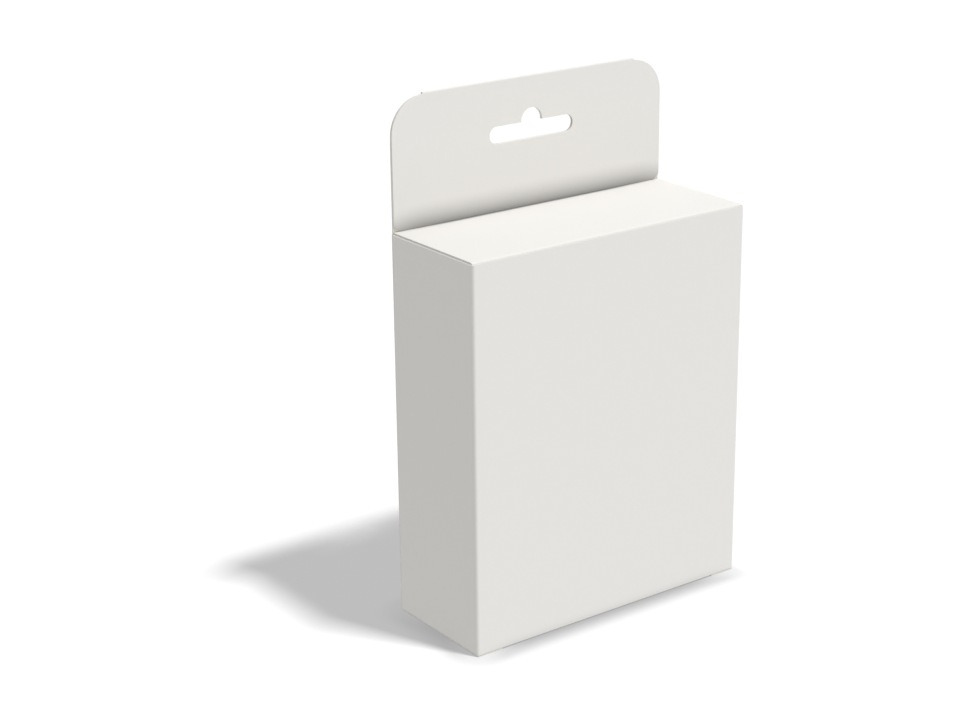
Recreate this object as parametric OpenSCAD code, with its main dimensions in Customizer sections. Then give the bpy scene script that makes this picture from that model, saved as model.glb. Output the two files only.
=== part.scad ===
// Hanging folding carton, folded up and closed.
// One sheet of white coated boxboard makes a four-sided sleeve with dust flaps,
// a two-ply hanging header with a shop-hook slot, and a tuck-in lid at each end.
// Millimetres. +X is the carton's width, +Y its depth towards the back, +Z is up.
// The origin is the centre of the footprint, on the surface that it stands on.

/* [Carton] */
// Width across the front panel, outside to outside
box_w = 101; // [80:1:140]
// Depth from the front panel to the back panel, outside to outside
box_d = 40; // [32:1:60]
// Height from the floor to the upper face of the closed top lid
box_h = 120.5; // [80:0.5:200]

/* [Board] */
// Thickness of the boxboard
board_t = 0.45; // [0.3:0.05:0.6]
// Outside radius of a creased edge
crease_r = 0.9; // [0.7:0.1:1.2]
// Gap between two layers of board that slide past each other
slip_gap = 0.12; // [0.08:0.02:0.3]

/* [Header] */
// Height of the folded top edge above the lid
header_h = 39.8; // [34:0.2:60]
// Radius of the two upper corners
header_corner_r = 11; // [4:0.5:14]
// How far each side edge stays inside the carton's side
header_inset = 0.35; // [0.2:0.05:1]
// How far the folded edge stands above the cut corner arcs
fold_rise = 0.7; // [0.3:0.1:1.5]
// Width of each slanted cut at the ends of the folded edge
fold_slant = 1.1; // [0.5:0.1:2]
// Height of the relief cut at each end of the lid's crease
relief_h = 1.6; // [0.8:0.1:3]
// Width of the relief cut at each end of the lid's crease
relief_w = 1.9; // [0.8:0.1:3]

/* [Hang slot] */
// Overall length of the slot
slot_l = 31; // [24:0.5:40]
// Height of the slot, which is also twice the radius of its ends
slot_h = 5.2; // [4.4:0.1:7]
// Height of the slot's lower edge above the lid
slot_z = 20.7; // [14:0.1:22]
// Radius of the round hump over the slot's middle
hump_r = 3.8; // [3:0.1:5]
// Height of the hump's centre above the slot's lower edge
hump_z = 5.4; // [4.4:0.1:7]

/* [Lids] */
// How far a lid's side edges stay inside the carton's sides
lid_inset = 0.45; // [0.3:0.05:0.8]
// Length of a tuck flap, from the lid's outer face to its tip
tuck_l = 15; // [10:0.5:18]
// Gap between a tuck flap's side edges and the side panels' creases
tuck_side_gap = 0.3; // [0.2:0.05:1]
// How much narrower a tuck flap gets on each side towards its tip
tuck_taper = 1.5; // [0:0.1:4]
// Radius of a tuck flap's two tip corners
tuck_corner_r = 7; // [2:0.5:9]
// Gap between a tuck flap and the front panel's inner face
tuck_gap = 0.25; // [0.15:0.05:0.5]
// Length of the slit cut in from each end of the bottom lid's tuck crease
slit_l = 8.7; // [5:0.1:14]
// How far the bottom lid's corners stay behind the front panel's face
shoulder_inset = 0.1; // [0:0.05:0.3]

/* [Flaps] */
// Length of a dust flap, from the side panel's outer face to its tip
dust_l = 32; // [20:1:36]
// Gap between a dust flap's front edge and the closed tuck flap's root
dust_front_gap = 0.85; // [0.7:0.05:2]
// Gap between a dust flap's rear edge and the glued flap
dust_rear_gap = 0.4; // [0.2:0.05:2]
// Length of the full-width shoulder at a dust flap's root
dust_shoulder = 9; // [5:0.5:14]
// Length and depth of the slanted step beside the shoulder
dust_step = 4; // [1:0.5:8]
// Radius of a dust flap's tip corners
dust_corner_r = 5; // [1:0.5:8]
// Width of the glued flap behind the back panel
glue_w = 13; // [8:0.5:18]
// Height that each slanted end of the glued flap loses towards its tip
glue_slant = 5; // [1:0.5:10]
// How far the back panel's cut edge stays inside the left side
seam_inset = 0.2; // [0:0.05:0.5]

/* [Hidden] */
$fn = 64;
// Overlap of shapes that join, and overshoot of shapes that cut
eps = 0.01;
over = 1;

board_white = [0.93, 0.925, 0.905];

// Outer faces of the sleeve
left_x = -box_w / 2;
right_x = box_w / 2;
front_y = -box_d / 2;
back_y = box_d / 2;

// Levels: both lids lie outside the sleeve, whose walls end one board short
wall_low_z = board_t + slip_gap;
wall_top_z = box_h - wall_low_z;

// Header
header_half_w = box_w / 2 - header_inset;
header_front_y = back_y - 2 * board_t;
header_top_z = box_h + header_h;
arc_top_z = header_top_z - fold_rise;
fold_axis_z = header_top_z - board_t;
fold_half_w = header_half_w - header_corner_r;
header_low_z = box_h + slip_gap;

// Hinges: the top lid turns about the concave crease at the header's foot, and
// the bottom lid about a round bead under the back panel
top_hinge_y = header_front_y - slip_gap;
bottom_bead_r = board_t;
bottom_hinge_y = back_y - bottom_bead_r;
bottom_hinge_z = bottom_bead_r;
back_low_z = 2 * bottom_bead_r + slip_gap;

// Tuck flaps: each curls inwards on an arc that its lid can swing out on
// without touching the front panel
tuck_y = front_y + board_t + tuck_gap;
tuck_half_w = box_w / 2 - crease_r - tuck_side_gap;
curl_share = 0.8;
top_curl_r = curl_share * (top_hinge_y - tuck_y);
bottom_curl_r = curl_share * (bottom_hinge_y - tuck_y);
lid_half_w = box_w / 2 - lid_inset;

// Dust flap edges, measured inwards from the front and back panels' outer faces
dust_front = 2 * board_t + tuck_gap + dust_front_gap;
dust_rear = 2 * board_t + dust_rear_gap;

// A quarter of a board's bend: tangent to both axes of its own corner,
// which lies at the origin, with the board on the +X and +Y sides
module bend_section(outer_r) {
    intersection() {
        square(outer_r);
        translate([outer_r, outer_r]) difference() {
            circle(r = outer_r);
            circle(r = outer_r - board_t);
        }
    }
}

// A flat sheet between two corners
module sheet(low, high) {
    translate(low) cube(high - low);
}

// An outline drawn in X and Z, given a thickness from the plane y towards +Y
module standing(y, thickness) {
    translate([0, y + thickness, 0]) rotate([90, 0, 0])
        linear_extrude(thickness) children();
}

// A profile drawn in Y and Z, carried along X
module across(x_from, x_to) {
    translate([x_from, 0, 0]) rotate([90, 0, 90])
        linear_extrude(x_to - x_from) children();
}

// A profile drawn in X and Z, carried along Y
module along(y_from, y_to) {
    standing(y_from, y_to - y_from) children();
}

// Rectangle whose corners at its far end, in +X, are round
module tongue(length, width, corner_r) {
    square([length - corner_r, width]);
    translate([0, corner_r]) square([length, width - 2 * corner_r]);
    for (y = [corner_r, width - corner_r])
        translate([length - corner_r, y]) circle(r = corner_r);
}

// Plan of a dust flap. X runs inwards from the side panel's outer face and Y
// from the front panel's outer face to the back.
module dust_plan() {
    rear = box_d - dust_rear;
    translate([crease_r, dust_front])
        square([dust_shoulder - crease_r, rear - dust_front]);
    translate([crease_r, dust_front + dust_step])
        tongue(dust_l - crease_r, rear - dust_front - dust_step, dust_corner_r);
    polygon([
        [dust_shoulder - eps, dust_front],
        [dust_shoulder, dust_front],
        [dust_shoulder + dust_step, dust_front + dust_step],
        [dust_shoulder + dust_step, dust_front + dust_step + eps],
        [dust_shoulder - eps, dust_front + dust_step + eps]
    ]);
}

// Lower dust flap of the left side, with its crease along the whole panel
module dust_flap(rear_y) {
    translate([left_x, front_y, wall_low_z]) linear_extrude(board_t) dust_plan();
    along(front_y + crease_r, rear_y)
        translate([left_x, wall_low_z]) bend_section(crease_r);
}

// A side panel with a dust flap at each end, drawn for the left side
module side_panel(rear_y) {
    sheet([left_x, front_y + crease_r, wall_low_z + crease_r],
          [left_x + board_t, rear_y, wall_top_z - crease_r]);
    dust_flap(rear_y);
    translate([0, 0, box_h]) mirror([0, 0, 1]) dust_flap(rear_y);
}

// A creased upright corner; turn names its quarter, 0 for the left front
module upright_bend(x, y, turn, low_z) {
    translate([x, y, low_z]) rotate([0, 0, turn])
        linear_extrude(wall_top_z - low_z) bend_section(crease_r);
}

module front_panel() {
    sheet([left_x + crease_r, front_y, wall_low_z],
          [right_x - crease_r, front_y + board_t, wall_top_z]);
}

// The back panel stops at a cut edge that laps over the glued flap
module back_panel() {
    sheet([left_x + seam_inset, back_y - board_t, back_low_z],
          [right_x - crease_r, back_y, wall_top_z]);
}

// The glued flap turns in from the left side and lies inside the back panel
module glue_flap() {
    seam_y = back_y - board_t;
    root_x = left_x + crease_r;
    tip_x = left_x + glue_w;
    upright_bend(left_x, seam_y, -90, back_low_z);
    standing(seam_y - board_t, board_t) polygon([
        [root_x, back_low_z], [tip_x, back_low_z + glue_slant],
        [tip_x, wall_top_z - glue_slant], [root_x, wall_top_z]
    ]);
}

// Outline of the header up to its fold's axis, with round upper corners
module header_outline(low_z) {
    corner_z = arc_top_z - header_corner_r;
    translate([-header_half_w, low_z])
        square([2 * header_half_w, corner_z - low_z]);
    translate([-fold_half_w, corner_z - eps])
        square([2 * fold_half_w, arc_top_z - corner_z + eps]);
    for (x = [-fold_half_w, fold_half_w])
        translate([x, corner_z]) circle(r = header_corner_r);
}

// The stretch of the folded edge that stands above the corner arcs
module fold_outline() {
    low = arc_top_z - header_corner_r / 2;
    polygon([
        [-fold_half_w - fold_slant, low], [fold_half_w + fold_slant, low],
        [fold_half_w + fold_slant, arc_top_z - fold_rise / 4],
        [fold_half_w, header_top_z], [-fold_half_w, header_top_z],
        [-fold_half_w - fold_slant, arc_top_z - fold_rise / 4]
    ]);
}

module hang_slot() {
    low = box_h + slot_z;
    end_x = (slot_l - slot_h) / 2;
    translate([-end_x, low]) square([2 * end_x, slot_h]);
    for (x = [-end_x, end_x])
        translate([x, low + slot_h / 2]) circle(d = slot_h);
    translate([0, low + hump_z]) circle(r = hump_r);
}

// Two glued plies, with a round fold along their top edge
module header() {
    difference() {
        union() {
            standing(header_front_y + board_t, board_t) header_outline(wall_top_z);
            standing(header_front_y, board_t) header_outline(header_low_z);
            intersection() {
                standing(header_front_y, 2 * board_t) fold_outline();
                union() {
                    sheet([-header_half_w, header_front_y, fold_axis_z - header_corner_r],
                          [header_half_w, back_y, fold_axis_z]);
                    translate([-header_half_w, back_y - board_t, fold_axis_z])
                        rotate([0, 90, 0]) cylinder(r = board_t, h = 2 * header_half_w);
                }
            }
        }
        standing(header_front_y - over, 2 * (board_t + over)) hang_slot();
        // Relief cuts in the front ply, at the ends of the lid's crease
        for (side = [-1, 1])
            standing(header_front_y - over, board_t + over) polygon([
                [side * (header_half_w + over), header_low_z - over],
                [side * (header_half_w - relief_w), header_low_z - over],
                [side * (header_half_w - relief_w), header_low_z],
                [side * header_half_w, header_low_z + relief_h],
                [side * (header_half_w + over), header_low_z + relief_h]
            ]);
    }
}

module carton_body() {
    color(board_white) union() {
        front_panel();
        back_panel();
        side_panel(back_y - board_t - crease_r);
        mirror([1, 0, 0]) side_panel(back_y - crease_r);
        upright_bend(left_x, front_y, 0, wall_low_z);
        upright_bend(right_x, front_y, 90, wall_low_z);
        upright_bend(right_x, back_y, 180, back_low_z);
        glue_flap();
        header();
    }
}

// Front view of a tuck flap, from its lid's outer face up to its tip
module tuck_face() {
    half_tip = tuck_half_w - tuck_taper;
    r = tuck_corner_r;
    polygon([
        [-tuck_half_w, 0], [tuck_half_w, 0],
        [half_tip, tuck_l - r], [half_tip - r, tuck_l],
        [-half_tip + r, tuck_l], [-half_tip, tuck_l - r]
    ]);
    for (x = [-half_tip + r, half_tip - r])
        translate([x, tuck_l - r]) circle(r = r);
}

// Section of a lid in Y and Z with its outer face down, on z = 0. The plate runs
// from rear_y to the crease, and the tuck flap curls inwards from the crease's
// upper tangent.
module lid_section(rear_y, curl_r) {
    translate([tuck_y + crease_r, 0]) square([rear_y - tuck_y - crease_r, board_t]);
    translate([tuck_y, 0]) bend_section(crease_r);
    intersection() {
        translate([tuck_y + curl_r, crease_r]) difference() {
            circle(r = curl_r, $fn = 180);
            circle(r = curl_r - board_t, $fn = 180);
        }
        translate([tuck_y, crease_r]) square([curl_r, tuck_l - crease_r]);
    }
}

// A lid of its full width as far as its plate goes, with the tuck flap cut to
// its own outline above that
module lid_blank() {
    intersection() {
        across(-lid_half_w, lid_half_w) children();
        standing(front_y, box_d) {
            tuck_face();
            translate([-lid_half_w, 0]) square([2 * lid_half_w, board_t]);
        }
    }
}

module top_lid() {
    color(board_white) translate([0, 0, box_h]) mirror([0, 0, 1]) lid_blank() {
        lid_section(top_hinge_y, top_curl_r);
        // Round underside of the crease at the header's foot
        translate([top_hinge_y, 0]) intersection() {
            circle(r = board_t);
            translate([-board_t, 0]) square([2 * board_t, board_t]);
        }
    }
}

// A block beyond one slit, between two corners given in Y and Z
module corner(side, low, high) {
    slit_x = lid_half_w - slit_l;
    inner = side * slit_x;
    outer = side * lid_half_w;
    sheet([min(inner, outer), low[0], low[1]], [max(inner, outer), high[0], high[1]]);
}

module bottom_lid() {
    crease_y = tuck_y + crease_r;
    color(board_white) {
        difference() {
            lid_blank() {
                lid_section(bottom_hinge_y, bottom_curl_r);
                // Bead of the crease under the back panel
                translate([bottom_hinge_y, bottom_hinge_z]) circle(r = bottom_bead_r);
            }
            // Slits that part the crease from the lid's corners
            for (side = [-1, 1])
                corner(side, [front_y - over, -over], [crease_y, crease_r]);
        }
        // Corners beyond the slits stay flat and reach under the front panel
        for (side = [-1, 1])
            corner(side, [front_y + shoulder_inset, 0], [crease_y + crease_r, board_t]);
    }
}

carton_body();
top_lid();
bottom_lid();
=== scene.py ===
"""Hanging folding carton, closed: white coated boxboard, folded from flat panels into a sheet and two lids.

The outer face of each panel is drawn flat, carried round its creases and cut to outline. Then each of the
three pieces gets the thickness of the board. Lengths are in millimetres until mm() turns them to metres.
"""

import math

import bpy
from mathutils import Matrix, Vector


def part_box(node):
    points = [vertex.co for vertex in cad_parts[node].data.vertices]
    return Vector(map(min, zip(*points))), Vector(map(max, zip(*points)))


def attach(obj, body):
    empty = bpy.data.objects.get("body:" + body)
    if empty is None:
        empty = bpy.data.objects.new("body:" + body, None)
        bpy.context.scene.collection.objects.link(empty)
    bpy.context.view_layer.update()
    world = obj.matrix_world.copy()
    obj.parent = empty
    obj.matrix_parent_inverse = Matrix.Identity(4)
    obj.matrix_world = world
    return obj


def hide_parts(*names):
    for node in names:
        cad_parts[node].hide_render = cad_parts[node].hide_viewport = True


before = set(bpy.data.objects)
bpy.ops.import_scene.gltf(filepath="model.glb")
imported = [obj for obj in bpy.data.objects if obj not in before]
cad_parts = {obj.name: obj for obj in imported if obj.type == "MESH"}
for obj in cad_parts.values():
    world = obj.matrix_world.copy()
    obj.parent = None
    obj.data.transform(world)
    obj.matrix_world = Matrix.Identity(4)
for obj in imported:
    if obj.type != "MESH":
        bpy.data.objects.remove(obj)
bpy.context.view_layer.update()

UNIT = 0.001


def mm(*values):
    """Millimetres to metres: a number, or a tuple of them."""
    scaled = tuple(value * UNIT for value in values)
    return scaled[0] if len(scaled) == 1 else scaled


# Outer sizes, read from the frame
body_low, body_high = (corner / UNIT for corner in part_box("carton_body"))
_, lid_high = (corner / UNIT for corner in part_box("top_lid"))
HALF_W = body_high.x
FRONT = body_low.y
BACK = body_high.y
LID_TOP = lid_high.z
HEADER_TOP = body_high.z
LID_HALF_W = lid_high.x

# Board and creases
BOARD = 0.45
PLY = 0.44
CREASE = 0.9
FLAP_CREASE = 0.5
SLIP = 0.12
CREASE_STEPS = 6
TOP_GAP = 0.05
FOOT_GAP = 0.1
WALL_LOW = BOARD + FOOT_GAP
WALL_TOP = LID_TOP - BOARD - TOP_GAP

# Header
HEADER_INSET = 0.35
HEADER_HALF_W = HALF_W - HEADER_INSET
CORNER_R = 11
CORNER_STEPS = 16
FOLD_RISE = 0.7
FOLD_STEPS = 12
HEADER_FRONT = BACK - 2 * BOARD
FOLD_Y = BACK - BOARD
FOLD_Z = HEADER_TOP - BOARD
ARC_TOP = HEADER_TOP - FOLD_RISE
FOLD_HALF_W = HEADER_HALF_W - CORNER_R
HEADER_LOW = LID_TOP + SLIP
RELIEF_W = 1.9
RELIEF_H = 1.6
NOTCH = 0.4

# Edges of the header that the die presses round
PRESSED_R = 0.18
SQUARE_COSINE = 0.2
SHARP_BAND = 1

# Hang slot
SLOT_L = 31
SLOT_H = 5.2
SLOT_RISE = 20.7
SLOT_LOW = LID_TOP + SLOT_RISE
SLOT_STEPS = 16
HUMP_R = 3.8
HUMP_RISE = 5.4
HUMP_Z = SLOT_LOW + HUMP_RISE
HUMP_STEPS = 64
PUNCH_L = 5
PUNCH_START = HEADER_FRONT - 2

# Lids
TUCK_GAP = 0.25
TUCK_Y = FRONT + BOARD + TUCK_GAP
TUCK_L = 15
TUCK_PLAY = 0.3
TUCK_HALF_W = HALF_W - CREASE - TUCK_PLAY
TUCK_TAPER = 1.5
TUCK_CORNER_R = 7
CURL_SHARE = 0.8
STRAIGHT_STEPS = 4
TUCK_STEPS = 12
TOP_HINGE_Y = HEADER_FRONT - SLIP
UNDERSIDE_R = PLY - 0.02
BEAD_R = BOARD
BEAD_Y = BACK - BEAD_R
BEAD_GAP = 0.03
BACK_LOW = 2 * BEAD_R + BEAD_GAP
SLIT_INSET = 8.7
SLIT_X = LID_HALF_W - SLIT_INSET
SHOULDER_Y = FRONT + 0.1

# Glued flap and dust flaps
GLUE_W = 13
GLUE_SLANT = 5
SEAM_X = -HALF_W + 0.2
DUST_L = 32
DUST_FRONT = FRONT + 2
DUST_REAR = BACK - 1.3
DUST_SHOULDER = 9
DUST_STEP = 4
DUST_CORNER_R = 5
DUST_CORNER_STEPS = 8

# How near two points count as one, and how near they are welded
TOUCH = 1e-3
WELD = 0.004
SMOOTH_ANGLE = 40


def near(value, target):
    return abs(value - target) < TOUCH


# Modelling steps


def activate(piece, *others):
    """Selects these objects only, with the first one active."""
    bpy.ops.object.select_all(action="DESELECT")
    for chosen in (*others, piece):
        chosen.select_set(True)
    bpy.context.view_layer.objects.active = piece


def panel(name, centre, size, turn=(0, 0, 0)):
    """A flat rectangle whose first face looks along its own +Z, turned and put in place."""
    bpy.ops.object.select_all(action="DESELECT")
    rotation = [math.radians(angle) for angle in turn]
    bpy.ops.mesh.primitive_plane_add(size=1, location=mm(*centre), rotation=rotation)
    piece = bpy.context.object
    piece.name = piece.data.name = name
    piece.scale = (*mm(*size), 1)
    bpy.ops.object.transform_apply(location=True, rotation=True, scale=True)
    return piece


def choose(piece, kind, wanted):
    """Goes into edit mode with only the wanted vertices, edges or faces selected."""
    activate(piece)
    mesh = piece.data
    parts = {"VERT": mesh.vertices, "EDGE": mesh.edges, "FACE": mesh.polygons}
    for group in parts.values():
        group.foreach_set("select", [False] * len(group))
    for part in parts[kind]:
        part.select = wanted(part)
    bpy.context.tool_settings.mesh_select_mode = [kind == k for k in parts]
    bpy.ops.object.mode_set(mode="EDIT")


def select(piece, kind, test):
    """Goes into edit mode with only the vertices, edges or faces whose corners all pass the test."""
    vertices = piece.data.vertices

    def passes(part):
        corners = [part] if kind == "VERT" else [vertices[v] for v in part.vertices]
        return all(test(corner.co / UNIT) for corner in corners)

    choose(piece, kind, passes)


def done():
    bpy.ops.object.mode_set(mode="OBJECT")


def extend(piece, test, step):
    """Carries the edges that pass the test straight on."""
    select(piece, "EDGE", test)
    bpy.ops.mesh.extrude_region_move(TRANSFORM_OT_translate={"value": mm(*step)})
    done()


def fold(piece, test, centre, axis, degrees, steps=CREASE_STEPS):
    """Carries the edges that pass the test round an axis, by the right-hand rule."""
    select(piece, "EDGE", test)
    bpy.ops.mesh.spin(steps=steps, angle=-math.radians(degrees), center=mm(*centre), axis=axis)
    done()


def score(piece, test, point, normal):
    """Parts the faces that pass the test along a plane."""
    select(piece, "FACE", test)
    across = Vector(normal).normalized()
    bpy.ops.mesh.bisect(plane_co=mm(*point), plane_no=across, threshold=mm(TOUCH))
    done()


def trim(piece, test):
    """Takes away the faces that pass the test."""
    select(piece, "FACE", test)
    bpy.ops.mesh.delete(type="FACE")
    done()


def shift(piece, test, step):
    """Moves the vertices that pass the test."""
    select(piece, "VERT", test)
    bpy.ops.transform.translate(value=mm(*step))
    done()


def round_corners(piece, test, radius, steps):
    """Rounds the flat outline's corners that pass the test."""
    select(piece, "VERT", test)
    bpy.ops.mesh.bevel(offset=mm(radius), segments=steps, affect="VERTICES", clamp_overlap=False)
    done()


def weld(piece):
    """Joins vertices that lie on each other."""
    select(piece, "VERT", lambda p: True)
    bpy.ops.mesh.remove_doubles(threshold=mm(WELD))
    done()


def join(piece, *others):
    """Makes one mesh of the pieces, under the first one's name."""
    activate(piece, *others)
    bpy.ops.object.join()
    weld(piece)


def apply_modifier(piece, kind, **settings):
    modifier = piece.modifiers.new(kind.title(), kind)
    for name, value in settings.items():
        setattr(modifier, name, value)
    activate(piece)
    bpy.ops.object.modifier_apply(modifier=modifier.name)


# Places of the finishes in every board's list of materials
COATED, UNCOATED, CUT = range(3)


def make_board(piece, finishes):
    """Gives a sheet its thickness, inwards from the coated face, with a raw edge all round."""
    for finish in finishes:
        piece.data.materials.append(finish)
    apply_modifier(
        piece,
        "SOLIDIFY",
        thickness=mm(PLY),
        offset=-1,
        use_even_offset=True,
        material_offset=UNCOATED,
        material_offset_rim=CUT,
    )


def soften(piece):
    """Smooth creases beside flat panels, with the raw edges crisp."""
    activate(piece)
    bpy.ops.object.shade_smooth_by_angle(angle=math.radians(SMOOTH_ANGLE))
    apply_modifier(piece, "WEIGHTED_NORMAL", mode="FACE_AREA", weight=50, keep_sharp=True)


# The still part of the sheet


def side_walls(sheet):
    """Carries the front panel round both sides to the glued flap and the back panel."""
    wall_front = FRONT + CREASE
    inner_x = HALF_W - CREASE
    glue_x = -HALF_W + FLAP_CREASE
    glue_y = BACK - BOARD - FLAP_CREASE
    back_y = BACK - CREASE
    # The left side, and the flap that is glued to the inside of the back
    fold(sheet, lambda p: near(p.x, -inner_x), (-inner_x, wall_front, 0), (0, 0, 1), -90)
    extend(sheet, lambda p: near(p.x, -HALF_W), (0, glue_y - wall_front, 0))
    fold(sheet, lambda p: near(p.y, glue_y), (glue_x, glue_y, 0), (0, 0, 1), -90)
    extend(sheet, lambda p: near(p.y, FOLD_Y), (GLUE_W - FLAP_CREASE, 0, 0))
    # The right side and the back
    fold(sheet, lambda p: near(p.x, inner_x) and near(p.y, FRONT), (inner_x, wall_front, 0), (0, 0, 1), 90)
    extend(sheet, lambda p: near(p.x, HALF_W), (0, back_y - wall_front, 0))
    fold(sheet, lambda p: near(p.x, HALF_W) and near(p.y, back_y), (inner_x, back_y, 0), (0, 0, 1), 90)
    extend(sheet, lambda p: near(p.y, BACK), (SEAM_X - inner_x, 0, 0))

    def at_rear(p):
        return p.y > glue_y - TOUCH and (p.x < 0 or p.y > back_y - TOUCH)

    # The back panel and its bends end over the bottom lid's bead
    score(sheet, at_rear, (0, 0, BACK_LOW), (0, 0, 1))
    trim(sheet, lambda p: p.z < BACK_LOW + TOUCH and at_rear(p))
    # Slanted ends of the glued flap
    tip_x = -HALF_W + GLUE_W
    shift(sheet, lambda p: near(p.x, tip_x) and near(p.z, WALL_TOP), (0, 0, -GLUE_SLANT))
    shift(sheet, lambda p: near(p.x, tip_x) and near(p.z, BACK_LOW), (0, 0, GLUE_SLANT))


def dust_flap(sheet, side, end):
    """The dust flap of the left (-1) or right (1) side, at the bottom (-1) or top (1)."""
    wall_x = side * HALF_W
    root_x = side * (HALF_W - FLAP_CREASE)
    flap_z = WALL_TOP if end > 0 else WALL_LOW
    crease_z = flap_z - end * FLAP_CREASE
    wall_front = FRONT + CREASE
    wall_rear = BACK - BOARD - FLAP_CREASE if side < 0 else BACK - CREASE

    def on_wall(p):
        return near(p.x, wall_x)

    score(sheet, on_wall, (0, 0, crease_z), (0, 0, 1))
    trim(sheet, lambda p: on_wall(p) and end * (p.z - crease_z) > -TOUCH)
    turn = -side * end * 90
    fold(sheet, lambda p: on_wall(p) and near(p.z, crease_z), (root_x, 0, crease_z), (0, 1, 0), turn)
    extend(sheet, lambda p: near(p.x, root_x) and near(p.z, flap_z), (-side * (DUST_L - FLAP_CREASE), 0, 0))

    def on_flap(p):
        across = -TOUCH < side * p.x < HALF_W - FLAP_CREASE + TOUCH
        return near(p.z, flap_z) and across and wall_front - TOUCH < p.y < wall_rear + TOUCH

    # The flap is narrower than its wall, with a step down from the shoulder in front
    for y in (DUST_FRONT, DUST_REAR):
        score(sheet, on_flap, (0, y, 0), (0, 1, 0))
    trim(sheet, lambda p: on_flap(p) and p.y < DUST_FRONT + TOUCH)
    trim(sheet, lambda p: on_flap(p) and p.y > DUST_REAR - TOUCH)
    shoulder = side * (HALF_W - DUST_SHOULDER)
    step_end = side * (HALF_W - DUST_SHOULDER - DUST_STEP)
    for x in (shoulder, step_end):
        score(sheet, on_flap, (x, 0, 0), (1, 0, 0))

    def past_step(p):
        return on_flap(p) and near(p.y, DUST_FRONT) and side * (p.x - step_end) < TOUCH

    shift(sheet, past_step, (0, DUST_STEP, 0))
    tip_x = side * (HALF_W - DUST_L)
    round_corners(sheet, lambda p: on_flap(p) and near(p.x, tip_x), DUST_CORNER_R, DUST_CORNER_STEPS)


def header_ply(name, y, turn, low):
    """One ply of the header, cut to outline, with the slanted shoulders that rise to the fold."""
    ply = panel(name, (0, y, (low + ARC_TOP) / 2), (2 * HEADER_HALF_W, ARC_TOP - low), turn)
    round_corners(ply, lambda p: near(p.z, ARC_TOP), CORNER_R, CORNER_STEPS)
    first_step = math.radians(90 / CORNER_STEPS)
    shoulder_x = FOLD_HALF_W + CORNER_R * math.sin(first_step)
    shoulder_z = ARC_TOP - CORNER_R * (1 - math.cos(first_step))
    select(ply, "EDGE", lambda p: abs(p.x) < shoulder_x + TOUCH and p.z > shoulder_z - TOUCH)
    bpy.ops.mesh.extrude_region_move(TRANSFORM_OT_translate={"value": mm(0, 0, FOLD_Z - ARC_TOP)})
    bpy.ops.transform.resize(value=(1, 1, 0), center_override=mm(0, 0, FOLD_Z))
    done()
    select(ply, "VERT", lambda p: near(p.z, FOLD_Z) and abs(p.x) > FOLD_HALF_W + TOUCH)
    bpy.ops.transform.resize(value=(FOLD_HALF_W / shoulder_x, 1, 1), center_override=(0, 0, 0))
    done()
    weld(ply)
    return ply


def header_sheet(sheet):
    """Carries the back panel up, over the fold and down again to the lid's crease."""
    inner_x = HALF_W - CREASE
    score(sheet, lambda p: near(p.y, BACK), (-HEADER_HALF_W, 0, 0), (1, 0, 0))
    rear = header_ply("rear_ply", BACK, (-90, 0, 0), WALL_TOP)
    score(rear, lambda p: True, (inner_x, 0, 0), (1, 0, 0))
    shift(rear, lambda p: near(p.z, WALL_TOP) and near(p.x, HEADER_HALF_W), (0, 0, NOTCH))
    fold(rear, lambda p: near(p.z, FOLD_Z), (0, FOLD_Y, FOLD_Z), (1, 0, 0), 180, FOLD_STEPS)
    front = header_ply("front_ply", HEADER_FRONT, (90, 0, 0), HEADER_LOW)
    # Relief cuts across the front ply's lower corners
    cut_x = HEADER_HALF_W - RELIEF_W
    for side in (-1, 1):
        slope = (side * RELIEF_H, 0, -RELIEF_W)
        score(front, lambda p: True, (side * cut_x, 0, HEADER_LOW), slope)

        def cut_off(p):
            over = (side * p.x - cut_x) * RELIEF_H - (p.z - HEADER_LOW) * RELIEF_W
            return side * p.x > cut_x - TOUCH and over > -TOUCH

        trim(front, cut_off)
    join(sheet, rear, front)


def extrude_solid(piece, step):
    """Makes a closed prism of a flat outline."""
    select(piece, "FACE", lambda p: True)
    bpy.ops.mesh.extrude_region_move(TRANSFORM_OT_translate={"value": mm(*step)})
    bpy.ops.mesh.select_all(action="SELECT")
    bpy.ops.mesh.normals_make_consistent(inside=False)
    done()


def die_cut_slot(sheet):
    """The shop-hook slot: a long slot with round ends, and a round hump over its middle."""
    middle_z = SLOT_LOW + SLOT_H / 2
    punch = panel("slot_punch", (0, PUNCH_START, middle_z), (SLOT_L, SLOT_H), (90, 0, 0))
    round_corners(punch, lambda p: True, SLOT_H / 2 - TOUCH, SLOT_STEPS)
    extrude_solid(punch, (0, PUNCH_L, 0))
    bpy.ops.object.select_all(action="DESELECT")
    bpy.ops.mesh.primitive_cylinder_add(
        vertices=HUMP_STEPS,
        radius=mm(HUMP_R),
        depth=mm(PUNCH_L),
        location=mm(0, FOLD_Y, HUMP_Z),
        rotation=(math.pi / 2, 0, 0),
    )
    hump = bpy.context.object
    bpy.ops.object.transform_apply(location=True, rotation=True, scale=True)
    for die in (punch, hump):
        for _ in range(CUT + 1):
            die.data.materials.append(sheet.data.materials[CUT])
        for face in die.data.polygons:
            face.material_index = CUT
        apply_modifier(sheet, "BOOLEAN", object=die, operation="DIFFERENCE", solver="EXACT")
        bpy.data.objects.remove(die)


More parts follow.
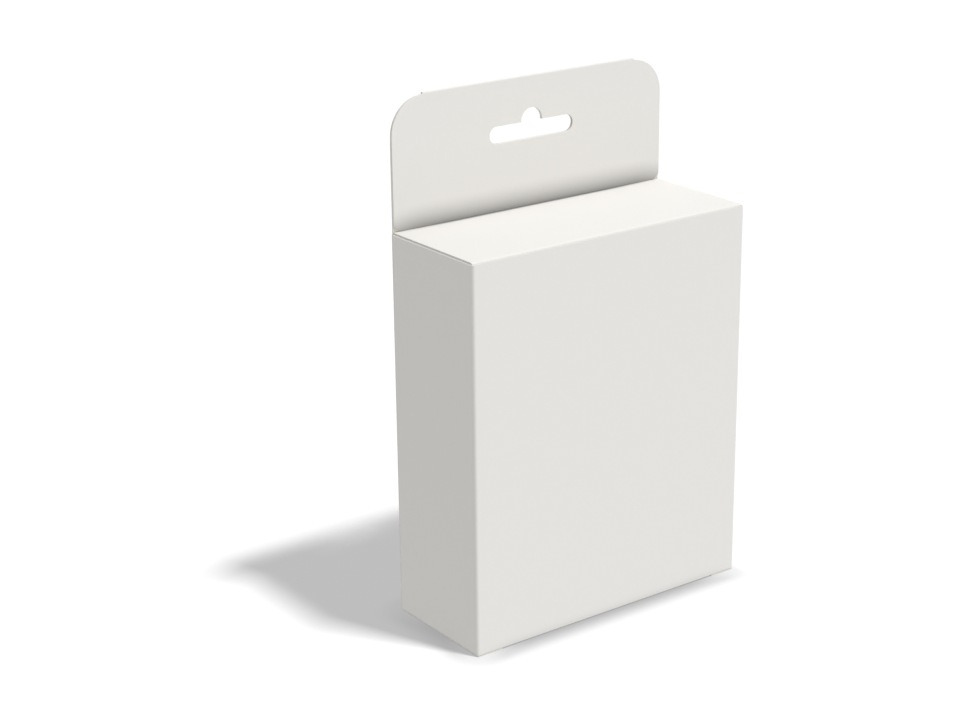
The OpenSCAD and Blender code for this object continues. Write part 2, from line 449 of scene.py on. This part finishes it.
def press_edges(sheet):
    """Rounds the header's coated edges a little, as the die presses them.

    These are both outlines and the slot in front. The level edges at the header's foot stay sharp.
    """
    mesh = sheet.data
    faces_at = {}
    for face in mesh.polygons:
        for edge in face.edge_keys:
            faces_at.setdefault(edge, []).append(face)

    def is_pressed(edge):
        ends = [mesh.vertices[v].co / UNIT for v in edge.vertices]
        in_front = all(near(p.y, HEADER_FRONT) and p.z > HEADER_LOW - TOUCH for p in ends)
        behind = all(near(p.y, BACK) and p.z > LID_TOP and abs(p.x) > SLOT_L for p in ends)
        first, second = (face.normal for face in faces_at[edge.key])
        square = abs(first.dot(second)) < SQUARE_COSINE
        at_foot = near(ends[0].z, ends[1].z) and ends[0].z < LID_TOP + SHARP_BAND
        return (in_front or behind) and square and not at_foot

    choose(sheet, "EDGE", is_pressed)
    bpy.ops.mesh.bevel(offset=mm(PRESSED_R), segments=3, affect="EDGES")
    done()


def carton_sheet(finishes):
    """Walls, glued flap, dust flaps and header: all of the sheet that stays still."""
    inner_x = HALF_W - CREASE
    height = WALL_TOP - WALL_LOW
    sheet = panel("carton_sheet", (0, FRONT, WALL_LOW + height / 2), (2 * inner_x, height), (90, 0, 0))
    side_walls(sheet)
    for side in (-1, 1):
        for end in (-1, 1):
            dust_flap(sheet, side, end)
    header_sheet(sheet)
    make_board(sheet, finishes)
    die_cut_slot(sheet)
    press_edges(sheet)
    soften(sheet)
    return sheet


# The lids


def tuck_rows(curl_r, first):
    """Rows of a tuck flap from its crease to its tip, where first is the first straight row that is wanted.

    A row is the depth behind the crease, the height above the lid's outer face and the half width.
    The flap curls inwards, tapers and has round tip corners.
    """
    straight = TUCK_L - TUCK_CORNER_R
    half_tip = TUCK_HALF_W - TUCK_TAPER
    outline = []
    for k in range(first, STRAIGHT_STEPS + 1):
        height = CREASE + (straight - CREASE) * k / STRAIGHT_STEPS
        outline.append((height, TUCK_HALF_W - TUCK_TAPER * height / straight))
    for k in range(1, TUCK_STEPS + 1):
        angle = math.radians(90 * k / TUCK_STEPS)
        height = TUCK_L - TUCK_CORNER_R * (1 - math.sin(angle))
        outline.append((height, half_tip - TUCK_CORNER_R * (1 - math.cos(angle))))
    return [(curl_r - math.sqrt(curl_r**2 - (h - CREASE) ** 2), h, half_w) for h, half_w in outline]


def carry(piece, test, rows, start):
    """Extrudes the edge at the start through rows of depth, height and half width."""
    select(piece, "EDGE", test)
    y, z, half_w = start
    for row_y, row_z, row_half_w in rows:
        bpy.ops.mesh.extrude_region_move(TRANSFORM_OT_translate={"value": mm(0, row_y - y, row_z - z)})
        bpy.ops.transform.resize(value=(row_half_w / half_w, 1, 1), center_override=(0, 0, 0))
        y, z, half_w = row_y, row_z, row_half_w
    done()


def crease_rows():
    """Rows round a tuck crease from the plate up: depth behind the crease's outer face, and height."""
    turns = [math.radians(90 * k / CREASE_STEPS) for k in range(1, CREASE_STEPS + 1)]
    return [(CREASE * (1 - math.sin(a)), CREASE * (1 - math.cos(a))) for a in turns]


def top_lid_board(finishes):
    """The top lid: a plate from the header's foot forwards, with the tuck flap down behind the front."""
    crease_y = TUCK_Y + CREASE
    rear = TOP_HINGE_Y + BOARD
    lid = panel("top_lid_board", (0, (crease_y + rear) / 2, LID_TOP), (2 * LID_HALF_W, rear - crease_y))
    rows = []
    for depth, height in crease_rows():
        # The crease is as wide as the lid down to the sleeve's cut edges
        half_w = LID_HALF_W if height <= BOARD + TOUCH else TUCK_HALF_W
        rows.append((TUCK_Y + depth, LID_TOP - height, half_w))
    curl_r = CURL_SHARE * (TOP_HINGE_Y - TUCK_Y)
    rows += [(TUCK_Y + depth, LID_TOP - height, half_w) for depth, height, half_w in tuck_rows(curl_r, 1)]
    carry(lid, lambda p: near(p.y, crease_y), rows, (crease_y, LID_TOP, LID_HALF_W))
    make_board(lid, finishes)
    # Round underside of the crease at the header's foot
    select(lid, "EDGE", lambda p: near(p.y, rear) and near(p.z, LID_TOP - PLY))
    bpy.ops.mesh.bevel(offset=mm(UNDERSIDE_R), segments=4, affect="EDGES")
    done()
    soften(lid)
    return lid


def bottom_lid_board(finishes):
    """The bottom lid: a plate from the back's bead forwards, slit beside the tuck flap that goes up."""
    crease_y = TUCK_Y + CREASE
    curl_r = CURL_SHARE * (BEAD_Y - TUCK_Y)
    rows = [(TUCK_Y + depth, height, half_w) for depth, height, half_w in tuck_rows(curl_r, 0)]
    first_y, first_z, first_half_w = rows[0]
    second_y, second_z, second_half_w = rows[1]
    # The tuck flap first, in three strips of which the middle one has the crease below it
    middle = (0, first_y, (first_z + second_z) / 2)
    lid = panel("bottom_lid_board", middle, (2 * first_half_w, second_z - first_z), (90, 0, 0))
    weld(lid)
    for side in (-1, 1):
        score(lid, lambda p: True, (side * SLIT_X, 0, 0), (1, 0, 0))
    select(lid, "VERT", lambda p: p.z > first_z + TOUCH)
    bpy.ops.transform.translate(value=mm(0, second_y - first_y, 0))
    bpy.ops.transform.resize(value=(second_half_w / first_half_w, 1, 1), center_override=(0, 0, 0))
    done()
    carry(lid, lambda p: p.z > first_z + TOUCH, rows[2:], rows[1])
    # Then the crease, from the flap down to the plate
    down = [(TUCK_Y + depth, height, SLIT_X) for depth, height in reversed(crease_rows()[:-1])]
    down.append((crease_y, 0, SLIT_X))
    carry(lid, lambda p: near(p.z, first_z) and abs(p.x) < SLIT_X + TOUCH, down, (TUCK_Y, CREASE, SLIT_X))
    extend(lid, lambda p: near(p.z, 0), (0, BEAD_Y - crease_y, 0))
    # Side strips, whose corners reach under the front panel
    strip_w = LID_HALF_W - SLIT_X
    for side in (-1, 1):
        extend(lid, lambda p: near(p.z, 0) and near(p.x, side * SLIT_X), (side * strip_w, 0, 0))
    for side in (-1, 1):

        def on_strip_front(p):
            return near(p.z, 0) and near(p.y, crease_y) and side * p.x > SLIT_X - TOUCH

        extend(lid, on_strip_front, (0, SHOULDER_Y - crease_y, 0))
    # Bead of the crease under the back panel
    fold(lid, lambda p: near(p.z, 0) and near(p.y, BEAD_Y), (0, BEAD_Y, BEAD_R), (1, 0, 0), 180, FOLD_STEPS)
    make_board(lid, finishes)
    soften(lid)
    return lid


# Finishes

WHITE = (1, 1, 1, 1)


def linear(hex_colour):
    """An sRGB hex colour as linear red, green, blue and alpha."""
    channels = [int(hex_colour[k : k + 2], 16) / 255 for k in (1, 3, 5)]
    return (*(c / 12.92 if c <= 0.04045 else ((c + 0.055) / 1.055) ** 2.4 for c in channels), 1)


def node(tree, kind, inputs=(), **settings):
    """Adds a node with its settings and links.

    The inputs are a dictionary by name or place, or a row from the first one on. Each gets a value, the
    output of another node, or another node for its first output.
    """
    made = tree.nodes.new(kind)
    for name, value in settings.items():
        setattr(made, name, value)
    by_socket = inputs if isinstance(inputs, dict) else dict(enumerate(inputs))
    for socket, source in by_socket.items():
        if isinstance(source, bpy.types.Node):
            source = source.outputs[0]
        if isinstance(source, bpy.types.NodeSocket):
            tree.links.new(source, made.inputs[socket])
        else:
            made.inputs[socket].default_value = source
    return made


MATH = "ShaderNodeMath"


def fade(tree, distance, start, end):
    """1 up to the start distance, and evenly down to 0 at the end distance."""
    length = end - start
    return node(tree, MATH, (distance, -1 / length, end / length), operation="MULTIPLY_ADD", use_clamp=True)


def new_material(name):
    material = bpy.data.materials.new(name)
    material.use_nodes = True
    material.node_tree.nodes.clear()
    return material, material.node_tree


def show_board(tree, colour, roughness, fibres, lift):
    """Makes the surface of a board whose fibres lift it by this many millimetres."""
    relief = node(tree, "ShaderNodeBump", {"Distance": mm(lift), "Height": fibres})
    finish = {"Base Color": colour, "Roughness": roughness, "IOR": 1.4, "Normal": relief.outputs["Normal"]}
    surface = node(tree, "ShaderNodeBsdfPrincipled", finish)
    node(tree, "ShaderNodeOutputMaterial", {"Surface": surface.outputs["BSDF"]})


def clay_coated_board():
    """Clay coating over bleached board, calendered: an even warm white with a soft satin sheen.

    A faint mottle of the base sheet shows through, 1.5 mm across, in tone and gloss, with fibres under the
    coating that lift it by a thousandth of a millimetre. Painted shade darkens the coating near two creases
    and along the front's lower edge, as in the photograph.
    """
    material, tree = new_material("clay_coated_white_board")
    place = node(tree, "ShaderNodeTexCoord").outputs["Object"]
    spots = {"Scale": 1 / mm(1.5), "Detail": 3, "Roughness": 0.6, "Vector": place}
    mottle = node(tree, "ShaderNodeTexNoise", spots)
    threads = {"Scale": 1 / mm(0.7), "Detail": 3, "Roughness": 0.6, "Vector": place}
    fibres = node(tree, "ShaderNodeTexNoise", threads)
    whites = {"A": linear("#EEECE8"), "B": linear("#F0EEEA"), "Factor": mottle}
    tone = node(tree, "ShaderNodeMix", whites, data_type="RGBA").outputs["Result"]
    # Painted shade by the creases and at the front's foot darkens the coating's colour
    left = crease_shade(tree, place)
    shaded = node(tree, "ShaderNodeVectorMath", {0: tone, "Scale": left}, operation="SCALE")
    gloss = node(tree, MATH, (mottle, 0.12, 0.54), operation="MULTIPLY_ADD")
    show_board(tree, shaded, gloss, fibres, lift=0.0015)
    return material


# Painted shade on the coating. Each has its reach in millimetres, the power that bends its fade, and its
# strength.
HEADER_SHADE = (8, 1.7, 0.62)
HIGH_HEADER_SHADE = (25, 1, 0.04)
LID_SHADE = (1.2, 1.5, 0.6)
FRONT_SHADE = (3.1, 2, 0.1)

# Distances from the middle between which the painted shade fades out sideways
LID_SHADE_ENDS = (30, 45)
FRONT_SHADE_ENDS = (38, 48)

# The header's painted shade sinks past this distance from the middle, with the distance squared
SINK_X = 39
SINK = 0.012


def crease_shade(tree, place):
    """What the painted shade by the creases leaves of the coating's colour.

    It is deepest at the crease between the header and the lid. From there it fades up the header, with a
    faint rest high up, and quickly along the lid. The front panel gets a little painted shade at its foot.
    """
    axes = node(tree, "ShaderNodeSeparateXYZ", {"Vector": place}).outputs
    height = node(tree, MATH, (axes["Z"], 1 / UNIT, -LID_TOP), operation="MULTIPLY_ADD")
    from_middle = node(tree, MATH, (axes["X"],), operation="ABSOLUTE")
    sideways = node(tree, MATH, (from_middle, 1 / UNIT), operation="MULTIPLY")
    depth = node(tree, MATH, (axes["Y"], -1 / UNIT, TOP_HINGE_Y), operation="MULTIPLY_ADD")

    def painted_shade(distance, reach, power, strength):
        left = node(tree, MATH, (fade(tree, distance, 0, reach), power), operation="POWER")
        return node(tree, MATH, (left, strength), operation="MULTIPLY")

    # Painted shade up the header, lower near its ends
    from_sink = node(tree, MATH, (sideways, SINK_X), operation="SUBTRACT")
    past_sink = node(tree, MATH, (from_sink, 0), operation="MAXIMUM")
    squared = node(tree, MATH, (past_sink, 2), operation="POWER")
    raised = node(tree, MATH, (squared, SINK, height), operation="MULTIPLY_ADD")
    painted_shades = (painted_shade(raised, *HEADER_SHADE), painted_shade(raised, *HIGH_HEADER_SHADE))
    header_painted_shade = node(tree, MATH, painted_shades, operation="ADD")
    on_header = node(tree, MATH, (height, SLIP / 2), operation="GREATER_THAN")
    # Painted shade along the lid, in its middle only
    lid_middle = fade(tree, sideways, *LID_SHADE_ENDS)
    is_lid = node(tree, MATH, (height, 0, SLIP / 2), operation="COMPARE")
    on_lid = node(tree, MATH, (is_lid, lid_middle), operation="MULTIPLY")
    header_part = node(tree, MATH, (header_painted_shade, on_header), operation="MULTIPLY")
    lid_part = node(tree, MATH, (painted_shade(depth, *LID_SHADE), on_lid), operation="MULTIPLY")
    # Neither is on the header's rear ply
    in_front = node(tree, MATH, (depth, -BOARD / 2), operation="GREATER_THAN")
    both = node(tree, MATH, (header_part, lid_part), operation="ADD")
    at_crease = node(tree, MATH, (both, in_front), operation="MULTIPLY")
    # Painted shade at the front's foot, between the slits
    from_low_edge = node(tree, MATH, (height, LID_TOP - WALL_LOW), operation="ADD")
    between_slits = fade(tree, sideways, *FRONT_SHADE_ENDS)
    is_front = node(tree, MATH, (depth, TOP_HINGE_Y - FRONT - BOARD), operation="GREATER_THAN")
    on_front = node(tree, MATH, (is_front, between_slits), operation="MULTIPLY")
    at_foot = node(tree, MATH, (painted_shade(from_low_edge, *FRONT_SHADE), on_front), operation="MULTIPLY")
    taken = node(tree, MATH, (at_crease, at_foot), operation="ADD")
    return node(tree, MATH, (1, taken), operation="SUBTRACT")


def uncoated_board():
    """Bare bleached board on the reverse: duller and warmer than the coating, with fibres 0.8 mm long."""
    material, tree = new_material("uncoated_board_reverse")
    place = node(tree, "ShaderNodeTexCoord").outputs["Object"]
    threads = {"Scale": 1 / mm(0.8), "Detail": 5, "Roughness": 0.7, "Vector": place}
    fibres = node(tree, "ShaderNodeTexNoise", threads)
    warm_whites = {"A": linear("#E0DCD2"), "B": linear("#E9E6DE"), "Factor": fibres}
    tone = node(tree, "ShaderNodeMix", warm_whites, data_type="RGBA").outputs["Result"]
    show_board(tree, tone, 0.9, fibres, lift=0.008)
    return material


def cut_edge():
    """The board's section where the die cut it: matt, with frayed fibres 0.3 mm across, and painted shade
    inside the hang slot.
    """
    material, tree = new_material("die_cut_board_edge")
    place = node(tree, "ShaderNodeTexCoord").outputs["Object"]
    threads = {"Scale": 1 / mm(0.3), "Detail": 4, "Roughness": 0.7, "Vector": place}
    fibres = node(tree, "ShaderNodeTexNoise", threads)
    whites = {"A": linear("#E8E5DF"), "B": linear("#F0EDE8"), "Factor": fibres}
    tone = node(tree, "ShaderNodeMix", whites, data_type="RGBA").outputs["Result"]
    # Painted shade: the cut edges inside the hang slot are darkened where they are occluded
    left = slot_shade(tree, place)
    shaded = node(tree, "ShaderNodeVectorMath", {0: tone, "Scale": left}, operation="SCALE")
    show_board(tree, shaded, 0.95, fibres, lift=0.02)
    return material


# Painted shade in the hang slot: its strength, its reach in millimetres, and the margin round the slot
SLOT_SHADE = 4.5
SLOT_SHADE_REACH = 4
SLOT_MARGIN = 1


def slot_shade(tree, place):
    """What the painted shade between the hang slot's walls leaves of a cut edge's colour: 1 on all other
    edges.
    """
    slot_top = HUMP_Z + HUMP_R
    half_l = SLOT_L / 2 + SLOT_MARGIN
    half_h = (slot_top - SLOT_LOW) / 2 + SLOT_MARGIN
    axes = node(tree, "ShaderNodeSeparateXYZ", {"Vector": place}).outputs
    at_middle = node(tree, MATH, (axes["X"], 0, mm(half_l)), operation="COMPARE")
    middle_z = (SLOT_LOW + slot_top) / 2
    at_height = node(tree, MATH, (axes["Z"], mm(middle_z), mm(half_h)), operation="COMPARE")
    at_slot = node(tree, MATH, (at_middle, at_height), operation="MULTIPLY")
    hidden = node(tree, "ShaderNodeAmbientOcclusion", {"Distance": mm(SLOT_SHADE_REACH)}, samples=6)
    closed = node(tree, MATH, (1, hidden.outputs["AO"]), operation="SUBTRACT")
    closed_in = node(tree, MATH, (closed, at_slot), operation="MULTIPLY")
    return node(tree, MATH, (closed_in, -SLOT_SHADE, 1), operation="MULTIPLY_ADD", use_clamp=True)


# Camera

CAMERA_PLACE = (-373.3, -469.35, 287.75)
CAMERA_AZIMUTH = -35.875
CAMERA_ELEVATION = 19.426
CAMERA_ROLL = -0.680
CAMERA_LENS = 78.96
SENSOR_W = 36
CLIP_START_M = 0.01
CLIP_END_M = 50


def add_camera():
    """The photograph's camera, solved from the carton's straight edges. Its angles are in degrees."""
    azimuth, elevation, roll = (math.radians(a) for a in (CAMERA_AZIMUTH, CAMERA_ELEVATION, CAMERA_ROLL))
    level = Vector((math.cos(azimuth), math.sin(azimuth), 0))
    back_x = math.sin(azimuth) * math.cos(elevation)
    back_y = -math.cos(azimuth) * math.cos(elevation)
    back = Vector((back_x, back_y, math.sin(elevation)))
    upright = back.cross(level)
    right = math.cos(roll) * level + math.sin(roll) * upright
    up = math.cos(roll) * upright - math.sin(roll) * level
    bpy.ops.object.camera_add()
    camera = bpy.context.object
    camera.name = "camera"
    camera.data.lens = CAMERA_LENS
    camera.data.sensor_width = SENSOR_W
    camera.data.clip_start = CLIP_START_M
    camera.data.clip_end = CLIP_END_M
    turn = Matrix((right, up, back)).transposed()
    camera.matrix_world = Matrix.Translation(mm(*CAMERA_PLACE)) @ turn.to_4x4()
    bpy.context.scene.camera = camera


# Light

# The lamp's distance is in metres, and its width and height are the degrees that it covers in the sky
KEY_DIRECTION = Vector((0.189, -0.357, 0.915))
KEY_DISTANCE = 40
KEY_WIDTH = 6.0
KEY_HEIGHT = 4.0
KEY_LEVEL = 0.50
FLOOR_KEY_LEVEL = 5.8
SKY_LEVEL = 0.72
SKY_LEFT = 0.61


def add_key_light(name, level):
    """A wide softbox far away, which gives an upright white matt sheet that faces it this level."""
    bpy.ops.object.light_add(type="AREA", location=KEY_DIRECTION * KEY_DISTANCE)
    light = bpy.context.object
    light.name = name
    light.rotation_euler = KEY_DIRECTION.to_track_quat("Z", "Y").to_euler()
    light.data.shape = "RECTANGLE"
    light.data.size = 2 * KEY_DISTANCE * math.tan(math.radians(KEY_WIDTH / 2))
    light.data.size_y = 2 * KEY_DISTANCE * math.tan(math.radians(KEY_HEIGHT / 2))
    light.data.energy = level * (math.pi * KEY_DISTANCE) ** 2
    return light


def add_lights(floor):
    """Two lamps in one place: one lights only the floor, and the other everything else."""
    for name, level, floor_state in (
        ("key_light", KEY_LEVEL, "EXCLUDE"),
        ("floor_key_light", FLOOR_KEY_LEVEL, "INCLUDE"),
    ):
        light = add_key_light(name, level)
        receivers = bpy.data.collections.new(name + "_receivers")
        receivers.objects.link(floor)
        receivers.collection_objects[0].light_linking.link_state = floor_state
        light.light_linking.receiver_collection = receivers


def add_world():
    """A soft sky that is dimmer on the left, and plain white where it is seen itself."""
    world = bpy.data.worlds.new("studio")
    world.use_nodes = True
    tree = world.node_tree
    tree.nodes.clear()
    bpy.context.scene.world = world
    direction = node(tree, "ShaderNodeTexCoord").outputs["Generated"]
    axes = node(tree, "ShaderNodeSeparateXYZ", {"Vector": direction}).outputs
    leftward = node(tree, MATH, (axes["X"], -1), operation="MULTIPLY", use_clamp=True)
    dimmed = node(tree, MATH, (leftward, -SKY_LEFT, SKY_LEVEL), operation="MULTIPLY_ADD")
    soft = node(tree, "ShaderNodeBackground", {"Color": WHITE, "Strength": dimmed})
    white = node(tree, "ShaderNodeBackground", {"Color": WHITE, "Strength": 1})
    mix = node(tree, "ShaderNodeMixShader", {0: seen_white(tree), 1: soft.outputs[0], 2: white.outputs[0]})
    node(tree, "ShaderNodeOutputWorld", {"Surface": mix.outputs[0]})


def seen_white(tree):
    """1 for rays that show the background itself: straight from the camera, mirrored or through glass."""
    path = node(tree, "ShaderNodeLightPath").outputs
    direct = node(tree, MATH, (path["Is Camera Ray"], path["Is Glossy Ray"]), operation="MAXIMUM")
    return node(tree, MATH, (direct, path["Is Transmission Ray"]), operation="MAXIMUM")


# Floor

FLOOR_SIZE_M = 8
# The floor's paint, the glow that sets its shadow's level, and the glow that stands in for bounce light
FLOOR_PAINT = 0.1
FLOOR_SHADE = 0.459
FLOOR_BOUNCE = 0.85
BOUNCE_SLOPE = 1.7

# The painted contact shade: its reach, and what it leaves of the paint and of the shadow's glow at the foot
# of a wall
CONTACT = 9.5
CONTACT_SLOPE = 2.8
CONTACT_START = -1.68
FOOT_SHADE = 0.84
FOOT_PAINT = 0.24
CORNER_FADE = 12
CORNER_LIGHT = 0.7
RIGHT_FADE = 7
RIGHT_FOOT = 0.65


def open_share(tree, hidden):
    """What the painted contact shade leaves: 1 away from the carton, and 0 near the foot of a wall."""
    ramp = (hidden, CONTACT_SLOPE, CONTACT_START)
    open_floor = node(tree, MATH, ramp, operation="MULTIPLY_ADD", use_clamp=True)
    # The painted contact shade is faint near the carton's corners, as in the photograph
    place = node(tree, "ShaderNodeNewGeometry").outputs["Position"]
    mirrored = node(tree, "ShaderNodeVectorMath", {0: place}, operation="ABSOLUTE").outputs["Vector"]
    ends = {0: mirrored, 1: mm(HALF_W, BACK, 0)}
    to_corner = node(tree, "ShaderNodeVectorMath", ends, operation="DISTANCE").outputs["Value"]
    fades = node(tree, MATH, (to_corner, 1 / mm(CORNER_FADE)), operation="MULTIPLY")
    squared = node(tree, MATH, (fades, 2), operation="POWER")
    negative = node(tree, MATH, (squared, -1), operation="MULTIPLY")
    bell = node(tree, MATH, (negative,), operation="EXPONENT")
    near_corner = node(tree, MATH, (bell, CORNER_LIGHT), operation="MULTIPLY")
    # It is faint beside the right side too, which looks towards the light
    sideways = node(tree, "ShaderNodeSeparateXYZ", {"Vector": place}).outputs["X"]
    at_middle = RIGHT_FOOT - HALF_W / RIGHT_FADE
    right_ramp = (sideways, 1 / mm(RIGHT_FADE), at_middle)
    past_right = node(tree, MATH, right_ramp, operation="MULTIPLY_ADD", use_clamp=True)
    lighter = node(tree, MATH, (open_floor, near_corner), operation="MAXIMUM")
    return node(tree, MATH, (lighter, past_right), operation="MAXIMUM")


def white_floor():
    """Paint that clips to white under its lamp. An emitted glow keeps its shadow as light as the
    photograph's, and painted contact shade darkens paint and glow near the carton's foot.

    Other rays than the camera's meet a white glow that stands in for bounce light, dimmed by painted shade
    under the carton.
    """
    material, tree = new_material("studio_floor")
    hidden = node(tree, "ShaderNodeAmbientOcclusion", {"Distance": mm(CONTACT)}, samples=8).outputs["AO"]
    share = open_share(tree, hidden)

    def down_to(foot, level):
        return node(tree, MATH, (share, (1 - foot) * level, foot * level), operation="MULTIPLY_ADD")

    # A white glow for the other rays stands in for bounce light, with painted shade under the carton
    bounce_share = node(tree, MATH, (hidden, BOUNCE_SLOPE), operation="MULTIPLY", use_clamp=True)
    bounce_part = node(tree, MATH, (bounce_share, FLOOR_BOUNCE), operation="MULTIPLY")
    # What the camera sees: paint and a glow at the shadow's level, both with painted contact shade at the
    # carton's foot
    paint = node(tree, "ShaderNodeBsdfDiffuse", {"Color": down_to(FOOT_PAINT, FLOOR_PAINT)})
    shade = node(tree, "ShaderNodeEmission", {"Color": WHITE, "Strength": down_to(FOOT_SHADE, FLOOR_SHADE)})
    shown = node(tree, "ShaderNodeAddShader", {0: paint.outputs[0], 1: shade.outputs[0]})
    bounce = node(tree, "ShaderNodeEmission", {"Color": WHITE, "Strength": bounce_part})
    seen = node(tree, "ShaderNodeLightPath").outputs["Is Camera Ray"]
    mix = node(tree, "ShaderNodeMixShader", {0: seen, 1: bounce.outputs[0], 2: shown.outputs[0]})
    node(tree, "ShaderNodeOutputMaterial", {"Surface": mix.outputs[0]})
    material.cycles.emission_sampling = "NONE"
    return material


def add_floor():
    """A white floor that keeps the carton's cast shadow, with painted contact shade darkest where the
    carton stands.
    """
    bpy.ops.object.select_all(action="DESELECT")
    bpy.ops.mesh.primitive_plane_add(size=FLOOR_SIZE_M)
    floor = bpy.context.object
    floor.name = "floor"
    floor.data.materials.append(white_floor())
    return floor


# The scene

add_camera()
add_world()
add_lights(add_floor())

board_finishes = (clay_coated_board(), uncoated_board(), cut_edge())
for board, body, replaced in (
    (carton_sheet(board_finishes), "carton", "carton_body"),
    (top_lid_board(board_finishes), "top_closure", "top_lid"),
    (bottom_lid_board(board_finishes), "bottom_closure", "bottom_lid"),
):
    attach(board, body)
    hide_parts(replaced)

bpy.context.scene.view_settings.view_transform = "Standard"
